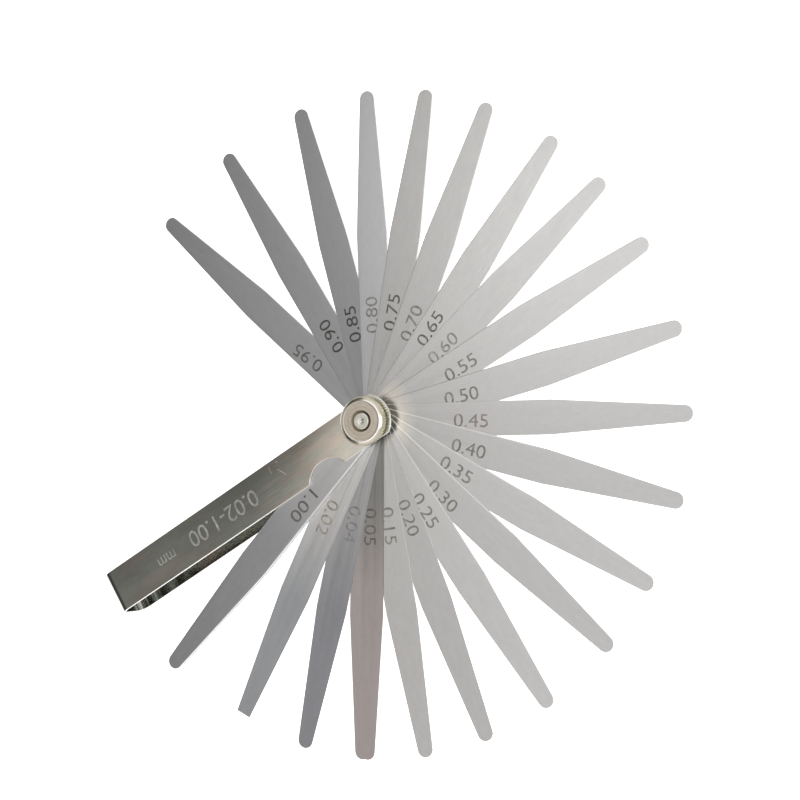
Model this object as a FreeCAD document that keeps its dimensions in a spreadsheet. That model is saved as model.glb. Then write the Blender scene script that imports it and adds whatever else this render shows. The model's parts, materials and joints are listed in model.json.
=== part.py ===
import FreeCAD, Part
import Sketcher
import math
import os

# Feeler gauge: 23 steel leaves that turn on one pivot screw and fold into a U-shaped sheet-metal case.
# Millimetres and degrees. The origin is the centre of the screw head's outer face. +Z runs from the head
# to the lock nut, and +X runs from the pivot to the closed end of the case.

V = FreeCAD.Vector

# Driving dimensions: alias, value, meaning.
DIMENSIONS = [
    ("leaf_reach", 95.0, "pivot axis to leaf tip"),
    ("guard_leaf_reach", 96.2, "pivot axis to the tip of the thickest leaf"),
    ("leaf_width", 9.6, "width of the parallel part of a leaf"),
    ("leaf_taper_start", 54.5, "pivot axis to the start of the taper"),
    ("leaf_tip_radius", 2.3, "radius of the round tip"),
    ("leaf_square_cut", 93.3, "pivot axis to the square tip of the thinnest leaf"),
    ("leaf_gap", 0.01, "oil film between neighbours on the screw"),
    ("bore_radius", 2.5, "radius of every hole on the pivot screw"),
    ("pin_radius", 2.45, "radius of the pivot screw's shank"),
    ("pin_chamfer", 0.3, "chamfer round the screw's end"),
    ("dimple_radius", 1.15, "radius of the dimple in the screw's end"),
    ("dimple_depth", 0.35, "depth of that dimple"),
    ("head_radius", 5.0, "radius of the screw head"),
    ("head_height", 1.6, "height of the screw head"),
    ("head_chamfer", 0.4, "chamfer round the screw head"),
    ("case_reach", 99.0, "pivot axis to the outer face of the end wall"),
    ("case_width", 12.6, "width of the case strip"),
    ("case_sheet", 0.8, "thickness of the case strip"),
    ("case_front_bend", 2.9, "outer radius of the bend between the end wall and the front plate"),
    ("case_back_bend", 3.8, "outer radius of the bend between the end wall and the back plate"),
    ("case_end_radius", 7.7, "radius of the plates' round ends, about the pivot"),
    ("notch_along", 18.1, "pivot axis to the thumb notch's centre, along the case"),
    ("notch_across", 9.86, "pivot axis to the thumb notch's centre, across the case"),
    ("notch_radius", 7.5, "radius of the thumb notch"),
    ("washer_radius", 6.3, "radius of the washer"),
    ("washer_height", 0.5, "thickness of the washer"),
    ("nut_radius", 6.9, "radius over the knurl of the lock nut"),
    ("nut_height", 2.6, "height of the lock nut"),
    ("nut_chamfer", 0.35, "chamfer of the lock nut's two rims"),
    ("nut_bevel_width", 0.85, "width of the slope from the lock nut's upper rim to its lip"),
    ("nut_bevel_depth", 0.41, "height of that slope"),
    ("nut_lip_width", 0.5, "width of the slope from the lip down to the lock nut's face"),
    ("nut_face_depth", 0.08, "depth of the lock nut's face below its lip"),
    ("dish_radius", 3.1, "outer radius of the dish in the lock nut's face"),
    ("dish_depth", 1.3, "depth of the dish at the bore"),
    ("knurl_depth", 0.3, "depth of a knurl groove, whose flanks stand at 90 degrees"),
]
KNURL_GROOVES = 56

# The leaves from the back plate to the front plate: size, and the angle from the case that each is fanned
# out to. The thickest leaf lies over the thinnest ones, to guard them.
FAN = [
    (0.95, 288.8),
    (0.90, 271.9),
    (0.85, 255.1),
    (0.80, 241.4),
    (0.75, 229.7),
    (0.70, 217.6),
    (0.65, 203.7),
    (0.60, 192.1),
    (0.55, 179.1),
    (0.50, 163.9),
    (0.45, 149.8),
    (0.40, 135.5),
    (0.35, 121.0),
    (0.30, 108.6),
    (0.25, 94.2),
    (0.20, 81.6),
    (0.15, 69.9),
    (0.10, 57.8),
    (0.05, 58.8),
    (0.04, 46.5),
    (0.03, 17.0),
    (0.02, 33.3),
    (1.00, 16.9),
]
SQUARE_TIPPED_SIZE = 0.02
GUARD_SIZE = 1.0


def size_name(size):
    """A leaf's size as it stands in names, such as 0_05."""
    return f"{size:.2f}".replace(".", "_")


def add_sheet(doc):
    """The spreadsheet of driving dimensions, one row each: alias, value, meaning."""
    sheet = doc.addObject("Spreadsheet::Sheet", "Sizes")
    rows = list(DIMENSIONS)
    for size, angle in FAN:
        name = size_name(size)
        rows.append((f"thickness_{name}", size, f"thickness of the {size:.2f} leaf"))
        rows.append((f"fan_angle_{name}", angle, f"rest angle of the {size:.2f} leaf"))
    for number, (alias, value, meaning) in enumerate(rows, start=1):
        sheet.set(f"A{number}", alias)
        sheet.set(f"B{number}", str(value))
        sheet.set(f"C{number}", meaning)
        sheet.setAlias(f"B{number}", alias)
    doc.recompute()
    return sheet


def add_body(doc, label):
    """An empty body with its label."""
    body = doc.addObject("PartDesign::Body", label)
    body.Label = label
    return body


def add_sketch(body, name, plane):
    """A sketch on one of the body's own origin planes, XY_Plane or XZ_Plane."""
    sketch = body.newObject("Sketcher::SketchObject", name)
    origin_plane = [item for item in body.Origin.OriginFeatures if item.Role == plane][0]
    sketch.AttachmentSupport = [(origin_plane, "")]
    sketch.MapMode = "FlatFace"
    return sketch


def join(sketch, kind, *elements):
    """A constraint with no size."""
    sketch.addConstraint(Sketcher.Constraint(kind, *elements))


def bind(sketch, name, expression, kind, *elements):
    """A named constraint whose size follows the expression."""
    sketch.addConstraint(Sketcher.Constraint(kind, *elements, float(sketch.evalExpression(expression))))
    sketch.renameConstraint(sketch.ConstraintCount - 1, name)
    sketch.setExpression(f"Constraints.{name}", expression)


def add_line(sketch, start, end):
    """A straight side between two points."""
    return sketch.addGeometry(Part.LineSegment(V(*start, 0), V(*end, 0)))


def add_arc(sketch, centre, radius, first, last):
    """An arc from the first angle to the last, counted in radians."""
    circle = Part.Circle(V(*centre, 0), V(0, 0, 1), radius)
    return sketch.addGeometry(Part.ArcOfCircle(circle, first, last))


def add_circle(sketch, name, expression):
    """A circle about the sketch's origin."""
    circle = sketch.addGeometry(Part.Circle(V(0, 0, 0), V(0, 0, 1), 1))
    join(sketch, "Coincident", circle, 3, -1, 1)
    bind(sketch, name, expression, "Radius", circle)


def add_polygon(sketch, corners):
    """
    A closed polygon. Each corner is a pair of expressions, along and across. Every side that runs level
    or upright is held so, and each other freedom of a corner is bound to its expression.
    """
    places = [tuple(float(sketch.evalExpression(text)) for text in corner) for corner in corners]
    count = len(corners)
    sides = [add_line(sketch, places[index], places[(index + 1) % count]) for index in range(count)]
    held_by_side = [set() for _ in corners]
    for index, side in enumerate(sides):
        following = (index + 1) % count
        join(sketch, "Coincident", side, 2, sides[following], 1)
        for axis, kind in ((0, "Vertical"), (1, "Horizontal")):
            level = abs(places[index][axis] - places[following][axis]) < 1e-9
            if level and following != 0:
                join(sketch, kind, side)
                held_by_side[following].add(axis)
    for index, side in enumerate(sides):
        for axis, kind, zero_line in ((0, "DistanceX", -2), (1, "DistanceY", -1)):
            if axis in held_by_side[index]:
                continue
            if corners[index][axis] == "0":
                join(sketch, "PointOnObject", side, 1, zero_line)
            else:
                bind(sketch, f"corner_{index}_{kind}", corners[index][axis], kind, -1, 1, side, 1)


def pad(body, sketch, name, expression, side_type="One side"):
    """A pad of the sketch."""
    feature = body.newObject("PartDesign::Pad", name)
    feature.Profile = sketch
    feature.SideType = side_type
    feature.setExpression("Length", expression)
    return feature


def cut_through(doc, body, sketch, name):
    """A pocket of the sketch right through the body, both ways."""
    doc.recompute()
    volume = body.Shape.Volume
    feature = body.newObject("PartDesign::Pocket", name)
    feature.Profile = sketch
    feature.SideType = "Symmetric"
    feature.Type = "ThroughAll"
    doc.recompute()
    if body.Shape.Volume > volume - 1e-6:
        raise RuntimeError(f"{name} cut nothing")
    return feature


def revolve(doc, body, sketch, name):
    """A full turn of a half profile about the upright axis of its sketch."""
    feature = body.newObject("PartDesign::Revolution", name)
    feature.Profile = sketch
    feature.ReferenceAxis = (sketch, ["V_Axis"])
    feature.Angle = 360
    doc.recompute()
    return feature


def edges_at(shape, is_there):
    """Names of the shape's edges whose middle passes the test."""
    names = []
    for number, edge in enumerate(shape.Edges, start=1):
        middle = edge.valueAt((edge.FirstParameter + edge.LastParameter) / 2)
        if is_there(middle):
            names.append(f"Edge{number}")
    return names


def dress(doc, body, kind, name, base, is_there, size_property, expression):
    """A fillet or chamfer of the base's edges whose middle passes the test."""
    feature = body.newObject(f"PartDesign::{kind}", name)
    feature.Base = (base, edges_at(base.Shape, is_there))
    feature.setExpression(size_property, expression)
    doc.recompute()
    return feature


def close(value, wanted):
    """Whether a place along an axis is the one wanted."""
    return abs(value - wanted) < 1e-4


def on_rim(radius, height):
    """A test for the middle of a circular edge about the pivot."""
    return lambda at: close(math.hypot(at.x, at.y), radius) and close(at.z, height)


def on_bend(along, height):
    """A test for the middle of an edge that runs across the case."""
    return lambda at: close(at.x, along) and close(at.y, 0) and close(at.z, height)


def add_leaf(doc, sheet, size, base_height):
    """One measuring leaf, lying at the base height and turned to its place in the fan."""
    name = size_name(size)
    body = add_body(doc, f"leaf_{name}")
    outline = add_sketch(body, f"outline_{name}", "XY_Plane")
    half = sheet.leaf_width / 2
    start = sheet.leaf_taper_start
    tip_radius = sheet.leaf_tip_radius
    reach = "Sizes.guard_leaf_reach" if size == GUARD_SIZE else "Sizes.leaf_reach"
    tip_centre = float(outline.evalExpression(reach)) - tip_radius
    lean = math.atan2(half - tip_radius, tip_centre - start)
    tip_x = tip_centre + tip_radius * math.sin(lean)
    tip_y = tip_radius * math.cos(lean)

    pivot_end = add_arc(outline, (0, 0), half, math.pi / 2, 3 * math.pi / 2)
    right_side = add_line(outline, (0, -half), (start, -half))
    right_taper = add_line(outline, (start, -half), (tip_x, -tip_y))
    tip = add_arc(outline, (tip_centre, 0), tip_radius, lean - math.pi / 2, math.pi / 2 - lean)
    left_taper = add_line(outline, (tip_x, tip_y), (start, half))
    left_side = add_line(outline, (start, half), (0, half))
    join(outline, "Coincident", pivot_end, 3, -1, 1)
    join(outline, "PointOnObject", tip, 3, -1)
    join(outline, "Tangent", pivot_end, 2, right_side, 1)
    join(outline, "Coincident", right_side, 2, right_taper, 1)
    join(outline, "Tangent", right_taper, 2, tip, 1)
    join(outline, "Tangent", tip, 2, left_taper, 1)
    join(outline, "Coincident", left_taper, 2, left_side, 1)
    join(outline, "Tangent", left_side, 2, pivot_end, 1)
    join(outline, "Horizontal", right_side)
    join(outline, "Symmetric", right_side, 2, left_side, 1, -1)
    bind(outline, "pivot_end", "Sizes.leaf_width / 2", "Radius", pivot_end)
    bind(outline, "taper_start", "Sizes.leaf_taper_start", "DistanceX", -1, 1, right_side, 2)
    bind(outline, "tip_radius", "Sizes.leaf_tip_radius", "Radius", tip)
    bind(outline, "tip_centre", f"{reach} - Sizes.leaf_tip_radius", "DistanceX", -1, 1, tip, 3)
    add_circle(outline, "bore", "Sizes.bore_radius")
    pad(body, outline, f"blank_{name}", f"Sizes.thickness_{name}")

    if size == SQUARE_TIPPED_SIZE:
        cut = add_sketch(body, "square_tip_outline", "XY_Plane")
        near, far = "Sizes.leaf_square_cut", "Sizes.leaf_reach + Sizes.leaf_tip_radius"
        right, left = "-Sizes.leaf_width / 2", "Sizes.leaf_width / 2"
        add_polygon(cut, [(near, right), (far, right), (far, left), (near, left)])
        cut_through(doc, body, cut, "square_tip")

    body.setExpression("Placement.Base.z", base_height)
    body.setExpression("Placement.Rotation.Angle", f"Sizes.fan_angle_{name}")
    return body


def add_washer(doc, base_height):
    """The plain washer between the front plate and the lock nut."""
    body = add_body(doc, "washer")
    ring = add_sketch(body, "ring", "XY_Plane")
    add_circle(ring, "bore", "Sizes.bore_radius")
    add_circle(ring, "rim", "Sizes.washer_radius")
    pad(body, ring, "flat_ring", "Sizes.washer_height")
    body.setExpression("Placement.Base.z", base_height)
    return body


def add_lock_nut(doc, base_height):
    """The round lock nut: a lip round its upper face, a dish at the bore and a knurl all round."""
    body = add_body(doc, "lock_nut")
    slope_radius = "Sizes.nut_radius - Sizes.nut_chamfer"
    slope_height = "Sizes.nut_height - Sizes.nut_bevel_depth"
    face_radius = f"{slope_radius} - Sizes.nut_bevel_width - Sizes.nut_lip_width"
    face_height = "Sizes.nut_height - Sizes.nut_face_depth"
    section = add_sketch(body, "nut_section", "XZ_Plane")
    add_polygon(
        section,
        [
            ("Sizes.bore_radius", "0"),
            ("Sizes.nut_radius - Sizes.nut_chamfer", "0"),
            ("Sizes.nut_radius", "Sizes.nut_chamfer"),
            ("Sizes.nut_radius", f"{slope_height} - Sizes.nut_chamfer"),
            (slope_radius, slope_height),
            (f"{slope_radius} - Sizes.nut_bevel_width", "Sizes.nut_height"),
            (face_radius, face_height),
            ("Sizes.dish_radius", face_height),
            ("Sizes.bore_radius", "Sizes.nut_height - Sizes.dish_depth"),
        ],
    )
    revolve(doc, body, section, "turned_nut")

    groove = add_sketch(body, "groove_outline", "XY_Plane")
    root, outside = "Sizes.nut_radius - Sizes.knurl_depth", "Sizes.nut_radius + Sizes.knurl_depth"
    half_mouth = "2 * Sizes.knurl_depth"
    add_polygon(groove, [(root, "0"), (outside, f"-{half_mouth}"), (outside, half_mouth)])
    cut = cut_through(doc, body, groove, "knurl_groove")
    knurl = body.newObject("PartDesign::PolarPattern", "knurl")
    knurl.Originals = [cut]
    knurl.Axis = (groove, ["N_Axis"])
    knurl.Angle = 360
    knurl.Occurrences = KNURL_GROOVES
    body.Tip = knurl
    body.setExpression("Placement.Base.z", base_height)
    return body


def add_pivot_screw(doc, sheet, end_height):
    """The pivot screw: a flat head below the back plate and a plain stud up to the lock nut's face."""
    body = add_body(doc, "pivot_screw")
    section = add_sketch(body, "screw_section", "XZ_Plane")
    add_polygon(
        section,
        [
            ("0", "0"),
            ("Sizes.head_radius", "0"),
            ("Sizes.head_radius", "Sizes.head_height"),
            ("Sizes.pin_radius", "Sizes.head_height"),
            ("Sizes.pin_radius", end_height),
            ("Sizes.dimple_radius", end_height),
            ("0", f"{end_height} - Sizes.dimple_depth"),
        ],
    )
    turned = revolve(doc, body, section, "turned_screw")
    stud_rim = on_rim(sheet.pin_radius, float(section.evalExpression(end_height)))
    head_rim = on_rim(sheet.head_radius, 0)
    stud = dress(doc, body, "Chamfer", "stud_end", turned, stud_rim, "Size", "Sizes.pin_chamfer")
    dress(doc, body, "Chamfer", "head_edge", stud, head_rim, "Size", "Sizes.head_chamfer")
    return body


def add_case(doc, sheet, depth):
    """The case: a strip bent into a U, round at the pivot, with a thumb notch and the two pivot holes."""
    body = add_body(doc, "case")
    profile = add_sketch(body, "strip_profile", "XZ_Plane")
    near, far, inner = "-Sizes.case_end_radius", "Sizes.case_reach", "Sizes.case_reach - Sizes.case_sheet"
    add_polygon(
        profile,
        [
            (near, "0"),
            (far, "0"),
            (far, depth),
            (near, depth),
            (near, f"{depth} - Sizes.case_sheet"),
            (inner, f"{depth} - Sizes.case_sheet"),
            (inner, "Sizes.case_sheet"),
            (near, "Sizes.case_sheet"),
        ],
    )
    strip = pad(body, profile, "bent_strip", "Sizes.case_width", side_type="Symmetric")
    doc.recompute()
    wall = sheet.case_reach - sheet.case_sheet
    outer_depth = float(profile.evalExpression(depth))
    bend = strip
    for side, outer_height, inner_height in (
        ("front", outer_depth, outer_depth - sheet.case_sheet),
        ("back", 0, sheet.case_sheet),
    ):
        radius = f"Sizes.case_{side}_bend"
        inner_radius = f"{radius} - Sizes.case_sheet"
        outer = on_bend(sheet.case_reach, outer_height)
        inner = on_bend(wall, inner_height)
        bend = dress(doc, body, "Fillet", f"outer_{side}_bend", bend, outer, "Radius", radius)
        bend = dress(doc, body, "Fillet", f"inner_{side}_bend", bend, inner, "Radius", inner_radius)

    cut_through(doc, body, draw_end_trim(sheet, body), "round_ends")
    notch = add_sketch(body, "notch_outline", "XY_Plane")
    centre = V(sheet.notch_along, sheet.notch_across, 0)
    circle = notch.addGeometry(Part.Circle(centre, V(0, 0, 1), sheet.notch_radius))
    bind(notch, "radius", "Sizes.notch_radius", "Radius", circle)
    bind(notch, "along", "Sizes.notch_along", "DistanceX", -1, 1, circle, 3)
    bind(notch, "across", "Sizes.notch_across", "DistanceY", -1, 1, circle, 3)
    cut_through(doc, body, notch, "thumb_notch")
    holes = add_sketch(body, "hole_outline", "XY_Plane")
    add_circle(holes, "bore", "Sizes.bore_radius")
    cut_through(doc, body, holes, "pivot_holes")
    body.setExpression("Placement.Base.z", "Sizes.head_height")
    return body


def draw_end_trim(sheet, body):
    """What is trimmed off the strip's two ends, to leave them round about the pivot."""
    trim = add_sketch(body, "round_end_outline", "XY_Plane")
    radius = sheet.case_end_radius
    half = sheet.case_width / 2
    corner = -math.sqrt(radius**2 - half**2)
    turn = math.atan2(half, corner)
    outside = 2 * radius
    arc = add_arc(trim, (0, 0), radius, turn, 2 * math.pi - turn)
    left = add_line(trim, (corner, half), (corner, outside))
    top = add_line(trim, (corner, outside), (-outside, outside))
    back = add_line(trim, (-outside, outside), (-outside, -outside))
    bottom = add_line(trim, (-outside, -outside), (corner, -outside))
    right = add_line(trim, (corner, -outside), (corner, -half))
    chain = [left, top, back, bottom, right]
    join(trim, "Coincident", arc, 3, -1, 1)
    join(trim, "Coincident", arc, 1, left, 1)
    join(trim, "Coincident", right, 2, arc, 2)
    for side, following in zip(chain, chain[1:]):
        join(trim, "Coincident", side, 2, following, 1)
    for side in (left, right):
        join(trim, "Vertical", side)
    join(trim, "Vertical", arc, 1, arc, 2)
    for side in (top, bottom):
        join(trim, "Horizontal", side)
    join(trim, "Symmetric", top, 2, bottom, 1, -1)
    bind(trim, "end_radius", "Sizes.case_end_radius", "Radius", arc)
    bind(trim, "half_width", "Sizes.case_width / 2", "DistanceY", -1, 1, arc, 1)
    bind(trim, "outside_along", "-2 * Sizes.case_end_radius", "DistanceX", -1, 1, top, 2)
    bind(trim, "outside_across", "2 * Sizes.case_end_radius", "DistanceY", -1, 1, top, 2)
    return trim


def check(doc, bodies):
    """Stops when an object failed, a sketch is loose or a sub-part has no valid solid."""
    for item in doc.Objects:
        if "Invalid" in item.State or "Error" in item.State:
            raise RuntimeError(f"{item.Label} failed: {item.State}")
        if item.TypeId == "Sketcher::SketchObject" and item.solve() != 0:
            raise RuntimeError(f"the sketch {item.Label} has no solution")
    for body in bodies:
        shape = body.Shape
        if shape.isNull() or not shape.isValid() or len(shape.Solids) != 1:
            raise RuntimeError(f"{body.Label} is not one valid solid")


def height_of(body):
    """Where a body lies along the pivot, as an expression without a unit."""
    return f"{body.Name}.Placement.Base.z / 1mm"


def main():
    """Builds the gauge from the back plate to the lock nut, and writes one file for each sub-part."""
    doc = FreeCAD.newDocument("feeler_gauge")
    sheet = add_sheet(doc)
    bodies = []

    top = "Sizes.head_height + Sizes.case_sheet"
    for size, _ in FAN:
        leaf = add_leaf(doc, sheet, size, f"{top} + Sizes.leaf_gap")
        top = f"{height_of(leaf)} + Sizes.thickness_{size_name(size)}"
        bodies.append(leaf)
    doc.recompute()

    stack_top = f"{top} + Sizes.leaf_gap"
    washer = add_washer(doc, f"{stack_top} + Sizes.case_sheet + Sizes.leaf_gap")
    doc.recompute()
    nut = add_lock_nut(doc, f"{height_of(washer)} + Sizes.washer_height + Sizes.leaf_gap")
    doc.recompute()
    case = add_case(doc, sheet, f"{stack_top} + Sizes.case_sheet - Sizes.head_height")
    screw = add_pivot_screw(doc, sheet, f"{height_of(nut)} + Sizes.nut_height")
    doc.recompute()
    bodies += [washer, nut, case, screw]

    check(doc, bodies)
    os.makedirs("parts", exist_ok=True)
    for body in bodies:
        body.Shape.exportStep(os.path.join("parts", f"{body.Label}.step"))
        box = body.Shape.BoundBox
        print(f"{body.Label}: volume {body.Shape.Volume:.2f} mm3, z {box.ZMin:.2f} to {box.ZMax:.2f}")


main()
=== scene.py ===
import json
import math

import bpy
from mathutils import Matrix, Vector


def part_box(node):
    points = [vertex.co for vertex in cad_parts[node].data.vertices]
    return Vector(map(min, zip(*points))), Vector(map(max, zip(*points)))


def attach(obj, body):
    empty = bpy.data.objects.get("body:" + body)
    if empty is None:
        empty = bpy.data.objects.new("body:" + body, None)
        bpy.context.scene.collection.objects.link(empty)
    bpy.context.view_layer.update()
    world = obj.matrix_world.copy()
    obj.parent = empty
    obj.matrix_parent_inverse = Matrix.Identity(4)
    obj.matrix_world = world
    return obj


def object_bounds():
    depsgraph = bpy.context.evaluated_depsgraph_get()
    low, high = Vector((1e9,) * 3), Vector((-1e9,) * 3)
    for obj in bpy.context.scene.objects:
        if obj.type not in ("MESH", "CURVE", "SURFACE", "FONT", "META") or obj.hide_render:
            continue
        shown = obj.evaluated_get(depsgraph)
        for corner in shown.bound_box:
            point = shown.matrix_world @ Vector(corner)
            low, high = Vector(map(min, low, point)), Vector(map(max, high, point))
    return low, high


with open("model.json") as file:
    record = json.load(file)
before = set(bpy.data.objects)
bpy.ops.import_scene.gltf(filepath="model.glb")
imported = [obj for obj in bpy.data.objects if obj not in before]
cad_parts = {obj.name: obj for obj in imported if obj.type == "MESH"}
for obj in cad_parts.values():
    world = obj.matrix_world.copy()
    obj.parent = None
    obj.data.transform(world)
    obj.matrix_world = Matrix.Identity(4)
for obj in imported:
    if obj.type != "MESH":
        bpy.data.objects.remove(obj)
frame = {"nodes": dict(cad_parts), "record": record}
CAD_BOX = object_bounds()

# Feeler gauge. Metres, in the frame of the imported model: +Z runs from the screw head to the lock nut and
# +X from the pivot to the closed end of the case. Each leaf's own axis is turned by its fan angle about +Z.

MM = 0.001
WELD_REACH = 1e-6

# How wide the worn edges are. A foil's are a share of its thickness. A thicker leaf's are a width, or a
# share of its thickness where that is less.
FOIL_THICKNESS = 0.22 * MM
FOIL_EDGE_SHARE = 0.1
LEAF_EDGE = 0.2 * MM
LEAF_EDGE_SHARE = 0.4
CASE_EDGE = 0.12 * MM
PIVOT_EDGE = 0.08 * MM
NUT_EDGE = 0.05 * MM

# Faces that turn by less than the first angle are one flat face. Edges that turn by more than the second are
# rounded. Both are in degrees.
FLAT_ANGLE = 0.5
SHARP_ANGLE = 30.0

# The camera: the point it aims at, its distance, its angles round the gauge in degrees, and its lens in mm.
CAMERA_AIM = Vector((-11.9, 0.3, 13.2)) * MM
CAMERA_DISTANCE = 0.613
CAMERA_AZIMUTH = 234.9
CAMERA_ELEVATION = 63.83
CAMERA_ROLL = -86.3
CAMERA_LENS = 98.7

# The number on each leaf: how far its middle is along and across the leaf in mm, and its tilt in degrees.
LABELS = {
    "0.95": (30.7, 1.3, 5.0), "0.90": (29.7, 0.0, 0.0), "0.85": (29.4, 0.6, -3.5),
    "0.80": (30.6, 0.9, 0.0), "0.75": (31.3, 0.5, -1.5), "0.70": (29.8, -0.2, -2.0),
    "0.65": (31.1, 0.95, 0.0), "0.60": (29.6, 0.2, -1.5), "0.55": (30.9, -0.8, 0.0),
    "0.50": (28.5, -0.4, -4.0), "0.45": (30.7, -0.4, -2.0), "0.40": (31.2, -0.5, 0.0),
    "0.35": (29.9, 0.5, -2.0), "0.30": (30.8, -1.2, -4.0), "0.25": (30.4, -0.1, -2.5),
    "0.20": (29.7, 1.0, -2.0), "0.15": (30.0, 0.7, -3.0), "0.10": (30.0, 0.7, 0.0),
    "0.05": (29.7, 0.6, -1.0), "0.04": (29.5, 1.2, 0.0), "0.03": (30.0, 0.0, 0.0),
    "0.02": (30.2, 0.0, 0.0), "1.00": (31.4, 1.1, 1.0),
}
LABEL_LENGTH = 10.4 * MM
LABEL_HEIGHT = 3.7 * MM
INK_HEIGHT = 0.004 * MM
GREY_INK = (0.19, 0.185, 0.165)
RANGE_INK = (0.26, 0.26, 0.24)
INKS = {
    "0.95": (0.095, 0.095, 0.088),
    "0.90": (0.04, 0.04, 0.035),
    "0.85": (0.045, 0.045, 0.04),
    "0.80": (0.19, 0.18, 0.17),
    "0.75": (0.10, 0.095, 0.085),
    "0.65": (0.12, 0.12, 0.11),
    "0.60": (0.25, 0.25, 0.23),
    "0.45": (0.235, 0.20, 0.19),
    "0.05": (0.11, 0.105, 0.095),
    "0.04": (0.185, 0.185, 0.18),
    "0.02": (0.27, 0.245, 0.21),
    "1.00": (0.105, 0.10, 0.092),
}

# The range etched on the front plate: text, middle along the case, length and height.
RANGE_MARKS = (
    ("range_mark", "0.02-1.00", 54.0 * MM, 26.0 * MM, 4.9 * MM),
    ("unit_mark", "mm", 76.5 * MM, 6.5 * MM, 2.4 * MM),
)

# How light each leaf is, by size, and its tint. Each tone is partly the steel's own and partly painted
# reflection: lighter or darker as the leaf's angle to the light makes it look. The 0.04 leaf and the
# thickest are the darkest.
LEAF_TONES = {
    "0.95": 0.40, "0.90": 0.36, "0.85": 0.33, "0.80": 0.475, "0.75": 0.445, "0.70": 0.48,
    "0.65": 0.53, "0.60": 0.535, "0.55": 0.55, "0.50": 0.55, "0.45": 0.545, "0.40": 0.555,
    "0.35": 0.60, "0.30": 0.59, "0.25": 0.64, "0.20": 0.585, "0.15": 0.61, "0.10": 0.47,
    "0.05": 0.47, "0.04": 0.385, "0.03": 0.43, "0.02": 0.505, "1.00": 0.435,
}
BLUE_STEEL = (0.98, 1.0, 1.035)
NEUTRAL_STEEL = (1.005, 1.0, 1.0)
LEAF_TINTS = {
    "0.95": BLUE_STEEL,
    "0.90": BLUE_STEEL,
    "0.85": BLUE_STEEL,
    "0.80": BLUE_STEEL,
    "0.10": (1.05, 0.95, 0.94),
    "0.05": (1.05, 0.95, 0.94),
    "0.04": (0.96, 0.98, 1.07),
    "0.02": (0.96, 1.0, 1.07),
    "1.00": (0.975, 0.99, 1.05),
}

# Leaves with a painted highlight along their edge on the notch's side, and how bright it is. The highlight
# lies this far out from the leaf's middle line, and fades out between these places along the leaf.
PAINTED_RIM_HIGHLIGHTS = {"0.45": 1.06, "0.40": 1.2, "0.35": 1.2, "0.30": 1.28, "0.25": 1.15, "1.00": 1.4}
LEAF_HIGHLIGHT_ACROSS = (4.36 * MM, 4.5 * MM)
LEAF_HIGHLIGHT_FADE = (48.0 * MM, 56.0 * MM)

# Leaves thin enough to bow, so that waves of light and dark run along them.
WAVY_LEAVES = ("0.02", "0.03", "0.04", "0.05", "0.10")

# Where the wedges of shade and the waves grow faint along a leaf, and how upright a leaf's worn edges are.
WEDGE_FADE = (10.0 * MM, 34.0 * MM)
WAVE_FADE = (30.0 * MM, 70.0 * MM)
LEAF_UPRIGHT = (0.62, 0.92)

# The metals. Nickel has more than one hue.
GROUND_EDGE = (0.82, 0.81, 0.79, 1.0)
WARM_NICKEL = (0.665, 0.632, 0.595, 1.0)
GREEN_NICKEL = (0.61, 0.645, 0.61, 1.0)
OLIVE_NICKEL = (0.50, 0.49, 0.38, 1.0)
NUT_HIGHLIGHT_NICKEL = (0.98, 0.92, 0.87, 1.0)
DISH_SHADE_NICKEL = (0.46, 0.40, 0.29, 1.0)
BRASSY_NICKEL = (0.58, 0.535, 0.385, 1.0)
NUT_NICKEL = (0.64, 0.585, 0.52)
SCREW_STEEL = (0.70, 0.69, 0.63)
WASHER_STEEL = (0.56, 0.52, 0.38)
FLOOR_WHITE = (0.9, 0.9, 0.9)
FLOOR_GLOW = 0.95

# How fine each pattern is: its features per metre along, across and through the piece.
LEAF_GRAIN = (180, 6500, 400)
LEAF_BLOTCHES = (420, 700, 400)
LEAF_WEDGES = (8, 260, 1)
LEAF_WAVES = (9, 230, 1)
CASE_GRAIN = (120, 4200, 4200)
CASE_CLOUD = (60, 160, 160)
CASE_HUE = (70, 260, 260)
LATHE_CLOUD = (500, 500, 500)
INK_WEAR = (700, 700, 700)
FLOOR_CLOUD = (4, 4, 4)

# How fine the rings round the pivot are: features per metre outward.
LATHE_RINGS = 5200.0
OLIVE_RINGS = 1400.0

# How deep the fine bumps are.
LEAF_BUMPS = 0.0006 * MM
CASE_BUMPS = 0.0003 * MM
LATHE_BUMPS = 0.002 * MM

# Short scratches on the front plate, each from one point to another in mm, and how wide they are.
SCRATCHES = (
    ((29.6, -0.4), (31.2, -3.0)),
    ((33.6, -3.1), (33.5, -4.9)),
    ((30.2, -5.0), (30.9, -5.1)),
)
SCRATCH_WIDTH = 0.22 * MM

# The case: from where to where across it the plate grows lighter, and where along it the cut edges round the
# pivot and the notch stop. Lower faces carry painted shade for the shadowed inside of the channel: fully
# from the first depth below its top, and not at all above the second.
CASE_ACROSS = (-6.0 * MM, 5.0 * MM)
CUT_EDGE_FADE = (40.0 * MM, 50.0 * MM)
SHADE_FULL_DEPTH = 1.43 * MM
SHADE_START_DEPTH = 0.63 * MM

# The lock nut, outward from the pivot: where the dish with its painted shade ends, the band of painted
# highlight starts and ends, and the knurl starts. The knurl's top is below the rim by the height.
DISH_EDGE = (3.05 * MM, 3.15 * MM)
NUT_HIGHLIGHT_START = (5.7 * MM, 5.8 * MM)
NUT_HIGHLIGHT_END = (6.0 * MM, 6.2 * MM)
KNURL_START = (6.5 * MM, 6.65 * MM)
RIM_HEIGHT = 0.35 * MM
RIM_BLUR = 0.05 * MM

# The floor's half width in metres, and the gap between it and the screw head.
FLOOR_HALF = 3.0
FLOOR_GAP = 0.01 * MM
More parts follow.
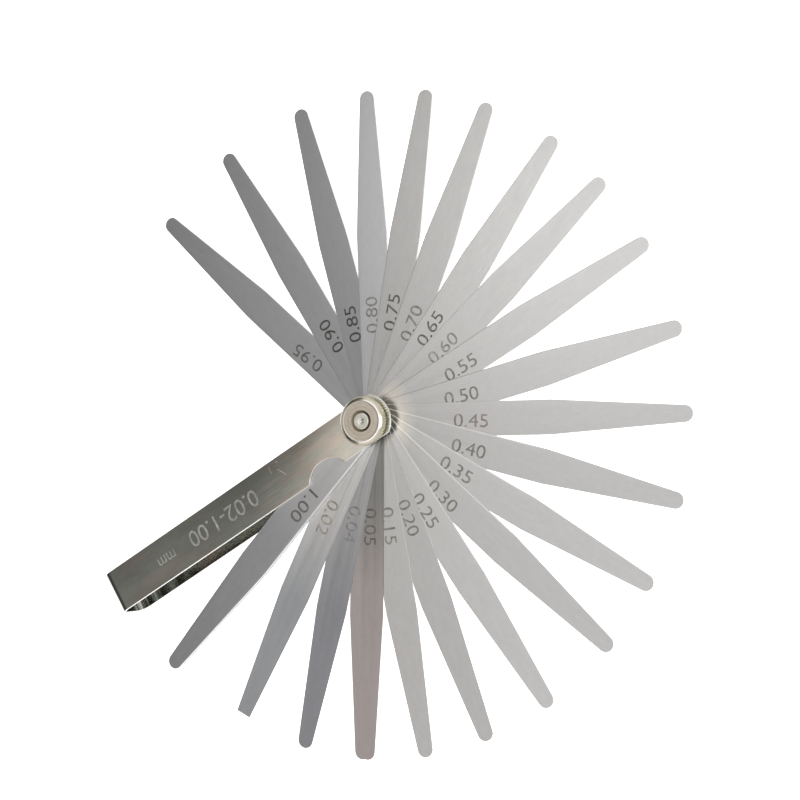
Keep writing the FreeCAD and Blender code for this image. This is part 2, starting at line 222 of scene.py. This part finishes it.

# Some leaves are darker or lighter near the pivot: by how much in each colour, and from where to where in mm
# that fades. Some have a narrow ring there, a painted glow: light reflected from the lock nut that lifts the
# shade beside the plate's round end.
PAINTED_GLOW_RING = ((1.28, 1.23, 1.12), 8.5, 14.0)
GLOW_RING_LEAVES = ("0.60", "0.55", "0.50", "0.45", "0.40", "0.35", "0.30")
HUB_SHADES = {
    "0.10": ((0.61, 0.675, 0.66), 20.0, 46.0),
    "0.05": ((0.61, 0.675, 0.66), 20.0, 46.0),
    "0.04": ((1.34, 1.31, 1.23), 26.0, 54.0),
    "0.02": ((1.54, 1.48, 1.38), 26.0, 56.0),
    "1.00": ((1.43, 1.40, 1.33), 14.0, 44.0),
    **dict.fromkeys(GLOW_RING_LEAVES, PAINTED_GLOW_RING),
}

# The studio, by how far a direction points to the side that the case points to: grey far behind, white in
# the middle, beige, then a dark wall with one lighter strip, and a lighter far end.
DARK_SIDE = (1.0, -0.8, 0.0)
STUDIO = (
    (-1.1, (0.28, 0.28, 0.28)),
    (-0.5, (0.44, 0.44, 0.44)),
    (-0.1, (0.52, 0.52, 0.52)),
    (0.2, (0.50, 0.50, 0.50)),
    (0.46, (0.46, 0.46, 0.46)),
    (0.56, (0.48, 0.445, 0.415)),
    (0.598, (0.44, 0.385, 0.34)),
    (0.608, (0.10, 0.10, 0.0925)),
    (0.645, (0.085, 0.085, 0.0775)),
    (0.68, (0.1175, 0.115, 0.105)),
    (0.75, (0.07, 0.07, 0.065)),
    (1.0, (0.025, 0.025, 0.0225)),
    (1.12, (0.04, 0.04, 0.0375)),
    (1.24, (0.18, 0.18, 0.17)),
)
STUDIO_SPAN = (-1.3, 1.3)
STUDIO_STRENGTH = 2.0

# The softboxes: centre, side, power and colour.
SOFTBOXES = {
    "near_softbox": ((-0.47, 0.28, 0.84), 0.5, 1.6, (1.0, 0.99, 0.97)),
    "far_softbox": ((0.2, -0.36, 1.0), 0.24, 0.27, (1.0, 1.0, 0.98)),
}

# The sockets of a Mix node that take and give colours.
MIX_FIRST = 6
MIX_SECOND = 7
MIX_RESULT = 2


def add_node(tree, kind, sockets=None, **settings):
    """A shader node with its settings. Each socket takes a value, or the output that feeds it."""
    node = tree.nodes.new(kind)
    for name, value in settings.items():
        setattr(node, name, value)
    for socket, value in (sockets or {}).items():
        if isinstance(value, bpy.types.NodeSocket):
            tree.links.new(value, node.inputs[socket])
        else:
            node.inputs[socket].default_value = value
    return node


def new_material(name, **shader_values):
    """A material with one principled shader. Its keyword values are set on the shader's own sockets."""
    material = bpy.data.materials.new(name)
    material.use_nodes = True
    tree = material.node_tree
    tree.nodes.clear()
    shader = add_node(tree, "ShaderNodeBsdfPrincipled")
    for socket, value in shader_values.items():
        shader.inputs[socket.replace("_", " ")].default_value = value
    output = add_node(tree, "ShaderNodeOutputMaterial")
    tree.links.new(shader.outputs["BSDF"], output.inputs["Surface"])
    return material, tree, shader


def maths(tree, operation, first, second=0.0):
    """The result of an operation on one or two numbers."""
    return add_node(tree, "ShaderNodeMath", {0: first, 1: second}, operation=operation).outputs["Value"]


def vector_maths(tree, operation, first, second):
    """The result of an operation on two places or colours, where that is a place or colour too."""
    sockets = {0: first, 1: second}
    return add_node(tree, "ShaderNodeVectorMath", sockets, operation=operation).outputs["Vector"]


def vector_measure(tree, operation, first, second=(0, 0, 0)):
    """The result of an operation on one or two places, where that is a number."""
    sockets = {0: first, 1: second}
    return add_node(tree, "ShaderNodeVectorMath", sockets, operation=operation).outputs["Value"]


def place_in(tree, turn=0.0, stretch=(1, 1, 1)):
    """The place on the piece, turned back by an angle about +Z and then stretched."""
    place = add_node(tree, "ShaderNodeTexCoord").outputs["Object"]
    turned = add_node(
        tree, "ShaderNodeVectorRotate", {"Vector": place, "Angle": -turn}, rotation_type="Z_AXIS"
    ).outputs["Vector"]
    return vector_maths(tree, "MULTIPLY", turned, stretch)


def noise(tree, place, detail=3.0, roughness=0.6, distortion=0.0):
    """A noise between 0 and 1 whose features are one unit of the place long."""
    sockets = {
        "Vector": place,
        "Scale": 1.0,
        "Detail": detail,
        "Roughness": roughness,
        "Distortion": distortion,
    }
    return add_node(tree, "ShaderNodeTexNoise", sockets).outputs["Fac"]


def remap(tree, value, low, high, new_low, new_high):
    """The value taken from one range to another and held inside it. The new ends may be sockets too."""
    sockets = {
        "Value": value,
        "From Min": low,
        "From Max": high,
        "To Min": new_low,
        "To Max": new_high,
    }
    return add_node(tree, "ShaderNodeMapRange", sockets, clamp=True).outputs["Result"]


def rise(tree, value, low, high):
    """Zero up to one value, and one from the other."""
    return remap(tree, value, low, high, 0.0, 1.0)


def fall(tree, value, low, high):
    """One up to one value, and zero from the other."""
    return remap(tree, value, low, high, 1.0, 0.0)


def mix(tree, share, none, full):
    """The first number where the share is 0, and the second where it is 1."""
    return remap(tree, share, 0.0, 1.0, none, full)


def vary(tree, pattern, low, high):
    """A noise taken to a range of its own. Nearly all of a noise is between 0.3 and 0.7."""
    return remap(tree, pattern, 0.3, 0.7, low, high)


def multiply(tree, first, second):
    """The product of two numbers."""
    return maths(tree, "MULTIPLY", first, second)


def blend(tree, share, first, second):
    """The first colour where the share is 0, and the second where it is 1."""
    sockets = {"Factor": share, MIX_FIRST: first, MIX_SECOND: second}
    return add_node(tree, "ShaderNodeMix", sockets, data_type="RGBA").outputs[MIX_RESULT]


def scaled(tree, vector, amount):
    """A colour or place times a number. A colour gets lighter or darker by it."""
    sockets = {0: vector, "Scale": amount}
    return add_node(tree, "ShaderNodeVectorMath", sockets, operation="SCALE").outputs["Vector"]


def roughen(tree, shader, height, distance):
    """Turns a height between 0 and 1 into bumps of that depth."""
    bump = add_node(tree, "ShaderNodeBump", {"Height": height, "Distance": distance, "Strength": 1.0})
    tree.links.new(bump.outputs["Normal"], shader.inputs["Normal"])


def axis(tree, place, name):
    """One coordinate of a place."""
    return add_node(tree, "ShaderNodeSeparateXYZ", {"Vector": place}).outputs[name]


def upright(tree, low, high):
    """One where the surface faces up or down by less than the low share, and zero by more than the high."""
    normal = add_node(tree, "ShaderNodeNewGeometry").outputs["Normal"]
    upward = maths(tree, "ABSOLUTE", axis(tree, normal, "Z"))
    return fall(tree, upward, low, high)


def leaf_colour(tree, size, along):
    """A leaf's tone and tint. Some leaves are darker or lighter near the pivot."""
    tint = LEAF_TINTS.get(size, NEUTRAL_STEEL)
    # Part of each tone is painted reflection, set by the leaf's angle to the light.
    colour = [LEAF_TONES[size] * part for part in tint]
    if size not in HUB_SHADES:
        return colour
    # For the ringed leaves this is a painted glow near the pivot.
    hub_shade, start, end = HUB_SHADES[size]
    fade = rise(tree, along, start * MM, end * MM)
    hub = blend(tree, fade, (*hub_shade, 1.0), (1.0, 1.0, 1.0, 1.0))
    return vector_maths(tree, "MULTIPLY", hub, colour)


def wavy(tree, turn, along, shade):
    """The shade with long waves of light and dark, strongest near the pivot."""
    waves = noise(tree, place_in(tree, turn, LEAF_WAVES), detail=3.0, distortion=1.2)
    depth = remap(tree, along, *WAVE_FADE, 0.76, 0.97)
    return multiply(tree, shade, remap(tree, waves, 0.35, 0.6, depth, 1.02))


def with_rim_highlight(tree, turn, along, shade, brightness):
    """The shade with a painted highlight along the leaf's rim, that much brighter."""
    across = axis(tree, place_in(tree, turn), "Y")
    rim = multiply(tree, rise(tree, across, *LEAF_HIGHLIGHT_ACROSS), fall(tree, along, *LEAF_HIGHLIGHT_FADE))
    return multiply(tree, shade, mix(tree, rim, 1.0, brightness))


def leaf_shade(tree, size, turn, along, grain):
    """A leaf's light and dark: grain, blotches and wedges, and for some leaves waves or a painted rim
    highlight.
    """
    blotches = noise(tree, place_in(tree, turn, LEAF_BLOTCHES), detail=4.0, roughness=0.7)
    shade = multiply(tree, vary(tree, grain, 0.96, 1.04), vary(tree, blotches, 0.97, 1.03))
    wedges = noise(tree, place_in(tree, turn, LEAF_WEDGES), detail=2.0)
    wedge_depth = remap(tree, along, *WEDGE_FADE, 0.86, 0.99)
    shade = multiply(tree, shade, remap(tree, wedges, 0.35, 0.55, wedge_depth, 1.0))
    if size in WAVY_LEAVES:
        shade = wavy(tree, turn, along, shade)
    # Some leaves get a painted highlight along their edge on the notch's side.
    if size in PAINTED_RIM_HIGHLIGHTS:
        shade = with_rim_highlight(tree, turn, along, shade, PAINTED_RIM_HIGHLIGHTS[size])
    return shade


def leaf_material(size, turn):
    """Spring steel ground along the leaf, with lighter edges that shine less."""
    material, tree, shader = new_material(f"leaf_steel_{size}", Metallic=1.0)
    along = axis(tree, place_in(tree, turn), "X")
    grain = noise(tree, place_in(tree, turn, LEAF_GRAIN), detail=4.0)
    face = scaled(tree, leaf_colour(tree, size, along), leaf_shade(tree, size, turn, along, grain))
    side = upright(tree, *LEAF_UPRIGHT)
    tree.links.new(blend(tree, side, face, GROUND_EDGE), shader.inputs["Base Color"])
    tree.links.new(mix(tree, side, 1.0, 0.25), shader.inputs["Metallic"])
    tree.links.new(vary(tree, grain, 0.27, 0.35), shader.inputs["Roughness"])
    roughen(tree, shader, grain, LEAF_BUMPS)
    return material


def scratch(tree, start, end):
    """One on a short straight scratch between two points, and zero off it."""
    run = end - start
    from_start = vector_maths(tree, "SUBTRACT", place_in(tree), start)
    share = vector_measure(tree, "DOT_PRODUCT", from_start, run / run.length_squared)
    held = add_node(tree, "ShaderNodeClamp", {"Value": share}).outputs["Result"]
    gap = vector_measure(tree, "DISTANCE", from_start, scaled(tree, run, held))
    return fall(tree, gap, SCRATCH_WIDTH * 0.4, SCRATCH_WIDTH)


def cut_edges(tree):
    """One on the case's cut edges: those that face across it, and round the pivot and the notch."""
    normal = add_node(tree, "ShaderNodeNewGeometry").outputs["Normal"]
    across = maths(tree, "ABSOLUTE", axis(tree, normal, "Y"))
    near_pivot = fall(tree, axis(tree, place_in(tree), "X"), *CUT_EDGE_FADE)
    round_edges = multiply(tree, near_pivot, upright(tree, 0.3, 0.6))
    return maths(tree, "MAXIMUM", rise(tree, across, 0.4, 0.7), round_edges)


def scratched(tree, shade, top):
    """The shade with the front plate's scratches. The plate's face is at the height of the top."""
    for (x_start, y_start), (x_end, y_end) in SCRATCHES:
        start = Vector((x_start * MM, y_start * MM, top))
        end = Vector((x_end * MM, y_end * MM, top))
        shade = multiply(tree, shade, mix(tree, scratch(tree, start, end), 1.0, 1.8))
    return shade


def nickel_material(top):
    """Nickel plate on the case: nearly a mirror, with faint rolling marks and a few short scratches."""
    material, tree, shader = new_material("case_nickel", Metallic=1.0)
    cloud = noise(tree, place_in(tree, 0.0, CASE_CLOUD), detail=3.0)
    grain = noise(tree, place_in(tree, 0.0, CASE_GRAIN), detail=3.0)
    across = axis(tree, place_in(tree), "Y")
    side_to_side = remap(tree, across, *CASE_ACROSS, 0.86, 1.1)
    shade = scratched(tree, multiply(tree, vary(tree, cloud, 0.86, 1.12), side_to_side), top)
    cut = cut_edges(tree)
    height = axis(tree, place_in(tree), "Z")
    # Painted shade: faces below the front plate's top are darker, as the channel's inside lies in shadow.
    painted_inner_shade = remap(tree, height, top - SHADE_FULL_DEPTH, top - SHADE_START_DEPTH, 0.7, 1.0)
    shade = multiply(tree, shade, mix(tree, cut, painted_inner_shade, 1.35))
    tree.links.new(mix(tree, cut, 1.0, 0.3), shader.inputs["Metallic"])
    hue = noise(tree, place_in(tree, 0.0, CASE_HUE), detail=2.0)
    plate = blend(tree, rise(tree, hue, 0.42, 0.58), WARM_NICKEL, GREEN_NICKEL)
    tree.links.new(scaled(tree, plate, shade), shader.inputs["Base Color"])
    tree.links.new(vary(tree, grain, 0.06, 0.10), shader.inputs["Roughness"])
    roughen(tree, shader, grain, CASE_BUMPS)
    return material


def out_from_pivot(tree):
    """The distance of the place from the pivot's axis."""
    return vector_measure(tree, "LENGTH", place_in(tree, 0.0, (1, 1, 0)))


def rings_round_pivot(tree, fineness, detail):
    """A noise in rings about the pivot."""
    outward = add_node(tree, "ShaderNodeCombineXYZ", {"X": multiply(tree, out_from_pivot(tree), fineness)})
    return noise(tree, outward.outputs["Vector"], detail=detail)


def turned_shader(name, colour, low_roughness, high_roughness):
    """Metal turned on a lathe, with fine rings about the pivot. Its colour is returned, not yet linked."""
    material, tree, shader = new_material(name, Metallic=1.0)
    rings = rings_round_pivot(tree, LATHE_RINGS, 2.0)
    cloud = noise(tree, place_in(tree, 0.0, LATHE_CLOUD), detail=3.0)
    shade = multiply(tree, vary(tree, rings, 0.86, 1.1), vary(tree, cloud, 0.92, 1.06))
    tree.links.new(vary(tree, rings, low_roughness, high_roughness), shader.inputs["Roughness"])
    roughen(tree, shader, rings, LATHE_BUMPS)
    return material, tree, shader, scaled(tree, colour, shade)


def turned_material(name, colour, low_roughness, high_roughness):
    """Metal turned on a lathe, in one colour."""
    material, tree, shader, turned = turned_shader(name, colour, low_roughness, high_roughness)
    tree.links.new(turned, shader.inputs["Base Color"])
    return material


def nut_zones(tree):
    """Where the lock nut has its painted highlight, knurl and painted dish shade: one there, zero elsewhere.
    """
    out = out_from_pivot(tree)
    # The band at the rim is a painted highlight.
    rim_highlight = multiply(tree, rise(tree, out, *NUT_HIGHLIGHT_START), remap(tree, out, *NUT_HIGHLIGHT_END, 1.0, 0.15))
    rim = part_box("lock_nut")[1].z - RIM_HEIGHT
    below_rim = fall(tree, axis(tree, place_in(tree), "Z"), rim - RIM_BLUR, rim)
    knurl = multiply(tree, below_rim, rise(tree, out, *KNURL_START))
    dish = fall(tree, out, *DISH_EDGE)
    return rim_highlight, knurl, dish


def nut_material():
    """Lock nut: turned nickel, olive rings, painted rim highlight, dull knurl, painted shade in the dish."""
    material, tree, shader, turned = turned_shader("nut_nickel", NUT_NICKEL, 0.16, 0.26)
    olive = remap(tree, rings_round_pivot(tree, OLIVE_RINGS, 1.0), 0.45, 0.6, 0.0, 0.7)
    rim_highlight, knurl, dish = nut_zones(tree)
    # Painted highlight: the band at the rim is near white.
    face = blend(tree, rim_highlight, blend(tree, olive, turned, OLIVE_NICKEL), NUT_HIGHLIGHT_NICKEL)
    # Painted shade: the dish is darker brown, as shade falls in its recess.
    colour = blend(tree, knurl, blend(tree, dish, face, DISH_SHADE_NICKEL), BRASSY_NICKEL)
    tree.links.new(colour, shader.inputs["Base Color"])
    tree.links.new(mix(tree, maths(tree, "MAXIMUM", knurl, dish), 1.0, 0.4), shader.inputs["Metallic"])
    return material


def ink_material(name, colour):
    """An etched mark: matt, and lighter where it has worn."""
    material, tree, shader = new_material(name, Metallic=0.0)
    wear = noise(tree, place_in(tree, 0.0, INK_WEAR), detail=4.0)
    worn = scaled(tree, colour, remap(tree, wear, 0.4, 0.75, 0.9, 1.9))
    tree.links.new(worn, shader.inputs["Base Color"])
    tree.links.new(vary(tree, wear, 0.55, 0.75), shader.inputs["Roughness"])
    return material


def floor_material():
    """The white sweep that the gauge lies on, which glows a little."""
    material, tree, shader = new_material("white_sweep", Roughness=0.9, Emission_Strength=FLOOR_GLOW)
    shader.inputs["Emission Color"].default_value = (1, 1, 1, 1)
    cloud = noise(tree, place_in(tree, 0.0, FLOOR_CLOUD))
    white = scaled(tree, FLOOR_WHITE, vary(tree, cloud, 0.99, 1.0))
    tree.links.new(white, shader.inputs["Base Color"])
    return material


def soften_edges(node, width):
    """Joins a CAD node's split corners and flat faces, rounds its edges by a width, evens its shading."""
    weld = node.modifiers.new("joined_corners", "WELD")
    weld.merge_threshold = WELD_REACH
    merge = node.modifiers.new("joined_flats", "DECIMATE")
    merge.decimate_type = "DISSOLVE"
    merge.angle_limit = math.radians(FLAT_ANGLE)
    bevel = node.modifiers.new("worn_edges", "BEVEL")
    bevel.width = width
    bevel.segments = 2
    bevel.limit_method = "ANGLE"
    bevel.angle_limit = math.radians(SHARP_ANGLE)
    bevel.use_clamp_overlap = True
    shading = node.modifiers.new("even_shading", "WEIGHTED_NORMAL")
    shading.keep_sharp = False


def dress(node, material, edge_width):
    """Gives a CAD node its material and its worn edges."""
    node.data.materials.clear()
    node.data.materials.append(material)
    soften_edges(node, edge_width)


def text_mesh(name, text):
    """A mesh of the text in its own units, one unit thick."""
    curve = bpy.data.curves.new(name, "FONT")
    curve.body = text
    curve.extrude = 0.5
    curve.resolution_u = 6
    template = bpy.data.objects.new(f"{name}_template", curve)
    bpy.context.scene.collection.objects.link(template)
    bpy.context.view_layer.update()
    mesh = bpy.data.meshes.new_from_object(template.evaluated_get(bpy.context.evaluated_depsgraph_get()))
    bpy.data.objects.remove(template)
    return mesh


def add_text(name, text, length, height, material, body, place):
    """A thin mesh of the text, of that length and height, on a face at the place, riding on the body."""
    mesh = text_mesh(name, text)
    corners = [vertex.co for vertex in mesh.vertices]
    low = Vector([min(corner[way] for corner in corners) for way in range(3)])
    high = Vector([max(corner[way] for corner in corners) for way in range(3)])
    extent = high - low
    middle = Vector(((low.x + high.x) / 2, (low.y + high.y) / 2, low.z))
    size = Matrix.Diagonal((length / extent.x, height / extent.y, INK_HEIGHT / extent.z, 1))
    mesh.transform(place @ size @ Matrix.Translation(-middle))
    mesh.materials.clear()
    mesh.materials.append(material)
    label = bpy.data.objects.new(name, mesh)
    bpy.context.scene.collection.objects.link(label)
    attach(label, body)


def leaf_edge(thickness):
    """How wide the worn edges of a leaf are."""
    if thickness < FOIL_THICKNESS:
        return FOIL_EDGE_SHARE * thickness
    return min(LEAF_EDGE, LEAF_EDGE_SHARE * thickness)


def dress_leaf(joint):
    """Steel, worn edges and a size mark for the leaf that a joint turns."""
    name = joint["child"]
    size = name.removeprefix("leaf_").replace("_", ".")
    turn = math.radians(-joint["range_deg"][0])
    low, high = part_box(name)
    dress(frame["nodes"][name], leaf_material(size, turn), leaf_edge(high.z - low.z))
    along, across, tilt = LABELS[size]
    place = (
        Matrix.Rotation(turn, 4, "Z")
        @ Matrix.Translation((along * MM, across * MM, high.z))
        @ Matrix.Rotation(math.radians(tilt), 4, "Z")
    )
    ink = ink_material(f"etched_size_{size}", INKS.get(size, GREY_INK))
    add_text(f"size_mark_{size}", size, LABEL_LENGTH, LABEL_HEIGHT, ink, name, place)


def dress_leaves():
    """Dresses every leaf."""
    for joint in frame["record"]["behaviour"]["joints"]:
        if joint["child"].startswith("leaf_"):
            dress_leaf(joint)


def dress_case():
    """Nickel plate on the case, and the gauge's range etched on the front plate."""
    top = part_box("case")[1].z
    dress(frame["nodes"]["case"], nickel_material(top), CASE_EDGE)
    ink = ink_material("etched_range", RANGE_INK)
    for name, text, along, length, height in RANGE_MARKS:
        add_text(name, text, length, height, ink, "case", Matrix.Translation((along, 0, top)))


def dress_pivot():
    """Turned metal on the screw, the washer and the lock nut."""
    nodes = frame["nodes"]
    screw_metal = turned_material("screw_steel", SCREW_STEEL, 0.24, 0.36)
    washer_metal = turned_material("washer_steel", WASHER_STEEL, 0.3, 0.45)
    dress(nodes["pivot_screw"], screw_metal, PIVOT_EDGE)
    dress(nodes["washer"], washer_metal, PIVOT_EDGE)
    dress(nodes["lock_nut"], nut_material(), NUT_EDGE)


def add_floor():
    """A pale floor under the screw head."""
    half = FLOOR_HALF
    corners = [(-half, -half, 0), (half, -half, 0), (half, half, 0), (-half, half, 0)]
    mesh = bpy.data.meshes.new("floor")
    mesh.from_pydata(corners, [], [(0, 1, 2, 3)])
    mesh.materials.append(floor_material())
    floor = bpy.data.objects.new("floor", mesh)
    floor.location.z = CAD_BOX[0].z - FLOOR_GAP
    bpy.context.scene.collection.objects.link(floor)


def add_softbox(name, centre, side, power, colour):
    """A square light panel that faces the gauge."""
    light = bpy.data.lights.new(name, "AREA")
    light.shape = "RECTANGLE"
    light.size = side
    light.size_y = side
    light.energy = power
    light.color = colour
    panel = bpy.data.objects.new(name, light)
    panel.location = centre
    panel.rotation_euler = Vector(centre).to_track_quat("Z", "Y").to_euler()
    bpy.context.scene.collection.objects.link(panel)


def add_studio():
    """The room's light: a gradient from its grey side to its dark side."""
    world = bpy.data.worlds.new("studio")
    world.use_nodes = True
    tree = world.node_tree
    direction = add_node(tree, "ShaderNodeTexCoord").outputs["Generated"]
    side = vector_measure(tree, "DOT_PRODUCT", direction, DARK_SIDE)
    low, high = STUDIO_SPAN
    ramp = add_node(tree, "ShaderNodeValToRGB", {"Fac": rise(tree, side, low, high)})
    stops = ramp.color_ramp.elements
    while len(stops) < len(STUDIO):
        stops.new(0.5)
    for stop, (reach, colour) in zip(stops, STUDIO):
        stop.position = (reach - low) / (high - low)
        stop.color = (*colour, 1)
    background = tree.nodes["Background"]
    tree.links.new(ramp.outputs["Color"], background.inputs["Color"])
    background.inputs["Strength"].default_value = STUDIO_STRENGTH
    bpy.context.scene.world = world


def add_lights():
    """The studio, a softbox round the camera's side and one over the far side."""
    add_studio()
    for name, (centre, side, power, colour) in SOFTBOXES.items():
        add_softbox(name, centre, side, power, colour)


def add_camera():
    """The camera, placed by its angles round the gauge."""
    azimuth = math.radians(CAMERA_AZIMUTH)
    elevation = math.radians(CAMERA_ELEVATION)
    roll = math.radians(CAMERA_ROLL)
    outward = Vector((math.sin(azimuth), -math.cos(azimuth), 0))
    back = outward * math.cos(elevation) + Vector((0, 0, math.sin(elevation)))
    level = Vector((math.cos(azimuth), math.sin(azimuth), 0))
    right = level * math.cos(roll) + back.cross(level) * math.sin(roll)
    up = back.cross(right)
    data = bpy.data.cameras.new("camera")
    data.lens = CAMERA_LENS
    camera = bpy.data.objects.new("camera", data)
    rotation = Matrix((right, up, back)).transposed().to_4x4()
    camera.matrix_world = Matrix.Translation(CAMERA_AIM + back * CAMERA_DISTANCE) @ rotation
    bpy.context.scene.collection.objects.link(camera)
    bpy.context.scene.camera = camera


dress_leaves()
dress_case()
dress_pivot()
add_floor()
add_lights()
add_camera()
bpy.context.scene.view_settings.view_transform = "Standard"
